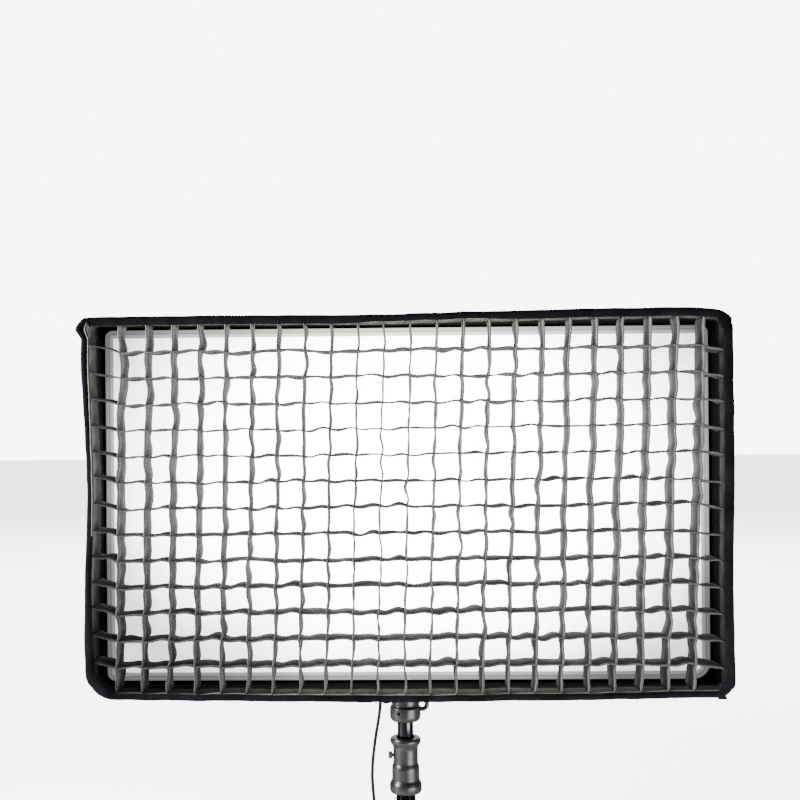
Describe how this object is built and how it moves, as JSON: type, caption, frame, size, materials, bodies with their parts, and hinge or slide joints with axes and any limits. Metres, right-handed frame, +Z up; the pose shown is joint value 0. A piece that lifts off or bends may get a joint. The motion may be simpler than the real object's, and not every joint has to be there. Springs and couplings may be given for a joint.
{
  "type": "strip softbox with egg-crate grid",
  "caption": "Rectangular fabric softbox with an egg-crate grid on an LED panel lamp, hung in a yoke whose spigot turns in a stand's top casting.",
  "frame": {"origin": "middle of the lower flat face of the stand's riser", "axes": "+Z up along the riser, the softbox faces -Y, +X to the right seen from the front"},
  "size_m": [0.984, 0.4109, 1.112],
  "materials": {
    "skin_fabric": "black woven nylon, silver inside",
    "grid_fabric": "soft matte black strips",
    "diffuser_cloth": "white translucent cloth",
    "tie_webbing": "hook and loop strap",
    "rod_finish": "fibreglass rod with a moulded tip",
    "ring_metal": "black anodised",
    "lamp_paint": "fine textured black powder coat",
    "opal": "opal acrylic",
    "board": "white solder mask",
    "bare_metal": "satin mill finish",
    "black_plastic": "moulded, fine grain",
    "display_glass": "dark window",
    "casting": "satin grey die casting",
    "bright_steel": "polished, bright plated",
    "cord_jacket": "satin black jacket"
  },
  "bodies": {
    "stand": {"riser_plug": "black_plastic", "riser": "bright_steel", "stand_casting": "casting"},
    "casting_knob": {"casting_knob": "black_plastic"},
    "yoke": {"yoke": "lamp_paint", "yoke_base": "casting", "safety_eye": "casting", "base_bolt": "bright_steel", "spigot": "bright_steel", "tilt_washer_left": "black_plastic", "tilt_washer_right": "black_plastic", "cord_gland": "black_plastic", "cord": "cord_jacket", "cord_hank": "cord_jacket", "cord_tie": "tie_webbing", "mains_plug": "black_plastic"},
    "lamp": {"lip_top": "skin_fabric", "lip_bottom": "skin_fabric", "lip_left": "skin_fabric", "lip_right": "skin_fabric", "skin_top": "skin_fabric", "skin_bottom": "skin_fabric", "skin_left": "skin_fabric", "skin_right": "skin_fabric", "front_diffuser": "diffuser_cloth", "inner_baffle": "diffuser_cloth", "rod_top_left": "rod_finish", "rod_top_right": "rod_finish", "rod_bottom_left": "rod_finish", "rod_bottom_right": "rod_finish", "ring_bracket_left": "ring_metal", "ring_bracket_right": "ring_metal", "ring_bar_top": "ring_metal", "ring_bar_bottom": "ring_metal", "lamp_housing": "lamp_paint", "front_bezel": "lamp_paint", "opal_panel": "opal", "led_board": "board", "heat_sink": "bare_metal", "power_supply": "bare_metal", "fan_frame": "black_plastic", "back_cover": "lamp_paint", "control_panel": "black_plastic", "display": "display_glass", "tilt_boss_left": "bare_metal", "tilt_boss_right": "bare_metal"},
    "grid": {"grid_uprights": "grid_fabric", "grid_crosspieces": "grid_fabric"},
    "tilt_knob_left": {"tilt_knob_left": "black_plastic"},
    "tilt_knob_right": {"tilt_knob_right": "black_plastic"},
    "latch_top": {"latch_top": "black_plastic"},
    "latch_bottom": {"latch_bottom": "black_plastic"},
    "fan_rotor": {"fan_rotor": "black_plastic"},
    "dimmer_dial": {"dimmer_dial": "black_plastic"},
    "colour_dial": {"colour_dial": "black_plastic"},
    "rocker_switch": {"rocker_switch": "black_plastic"}
  },
  "joints": [
    {"name": "pan", "type": "hinge", "parent": "stand", "child": "yoke", "pos_m": [0, 0, 0.37], "axis": [0, 0, 1], "continuous": true},
    {"name": "tilt", "type": "hinge", "parent": "yoke", "child": "lamp", "pos_m": [0, 0, 0.82], "axis": [1, 0, 0], "range_deg": [-90, 21]},
    {"name": "casting_knob_turn", "type": "hinge", "parent": "stand", "child": "casting_knob", "pos_m": [-0.03, 0, 0.35], "axis": [1, 0, 0], "continuous": true},
    {"name": "tilt_knob_left_turn", "type": "hinge", "parent": "lamp", "child": "tilt_knob_left", "pos_m": [-0.345, 0, 0.82], "axis": [1, 0, 0], "continuous": true},
    {"name": "tilt_knob_right_turn", "type": "hinge", "parent": "lamp", "child": "tilt_knob_right", "pos_m": [0.345, 0, 0.82], "axis": [1, 0, 0], "continuous": true},
    {"name": "latch_top_swing", "type": "hinge", "parent": "lamp", "child": "latch_top", "pos_m": [0, -0.086, 0.989], "axis": [1, 0, 0], "range_deg": [0, 100]},
    {"name": "latch_bottom_swing", "type": "hinge", "parent": "lamp", "child": "latch_bottom", "pos_m": [0, -0.086, 0.651], "axis": [-1, 0, 0], "range_deg": [0, 100]},
    {"name": "fan_spin", "type": "hinge", "parent": "lamp", "child": "fan_rotor", "pos_m": [0.19, 0, 0.82], "axis": [0, 1, 0], "continuous": true},
    {"name": "dimmer_turn", "type": "hinge", "parent": "lamp", "child": "dimmer_dial", "pos_m": [0.045, 0.0481, 0.72], "axis": [0, 1, 0], "continuous": true},
    {"name": "colour_turn", "type": "hinge", "parent": "lamp", "child": "colour_dial", "pos_m": [0.082, 0.0481, 0.72], "axis": [0, 1, 0], "continuous": true},
    {"name": "rocker_tip", "type": "hinge", "parent": "lamp", "child": "rocker_switch", "pos_m": [-0.085, 0.0401, 0.72], "axis": [1, 0, 0], "range_deg": [0, 16]},
    {"name": "grid_pull", "type": "slide", "parent": "lamp", "child": "grid", "axis": [0, -1, 0], "range_m": [0, 0.06]}
  ]
}
